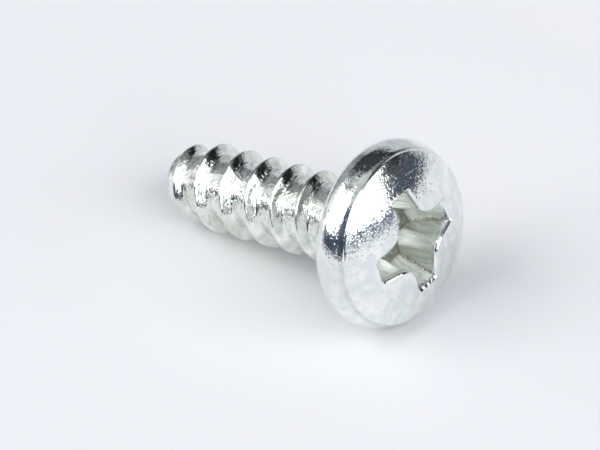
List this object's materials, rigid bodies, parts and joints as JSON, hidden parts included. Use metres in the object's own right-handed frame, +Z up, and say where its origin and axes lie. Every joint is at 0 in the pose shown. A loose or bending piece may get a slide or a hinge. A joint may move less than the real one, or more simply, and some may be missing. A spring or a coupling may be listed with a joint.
{
  "type": "screw",
  "caption": "Short thread-forming screw with a blunt tip, a coarse right-hand thread and a wide, low crowned head with a cross recess, lying on its side.",
  "frame": {"origin": "centre of the footprint of the lying screw, on the surface that it rests on", "axes": "+X level, towards the head; +Y level, across the screw; +Z up. The screw's own axis lies in the XZ plane and rises towards the head by about 12.3 degrees"},
  "size_m": [0.0122, 0.0072, 0.0071],
  "materials": {
    "zinc_plate": "bright, slightly bluish zinc plate over cold-formed steel, with a fine grain"
  },
  "bodies": {
    "root": {"screw": "zinc_plate"}
  },
  "joints": []
}
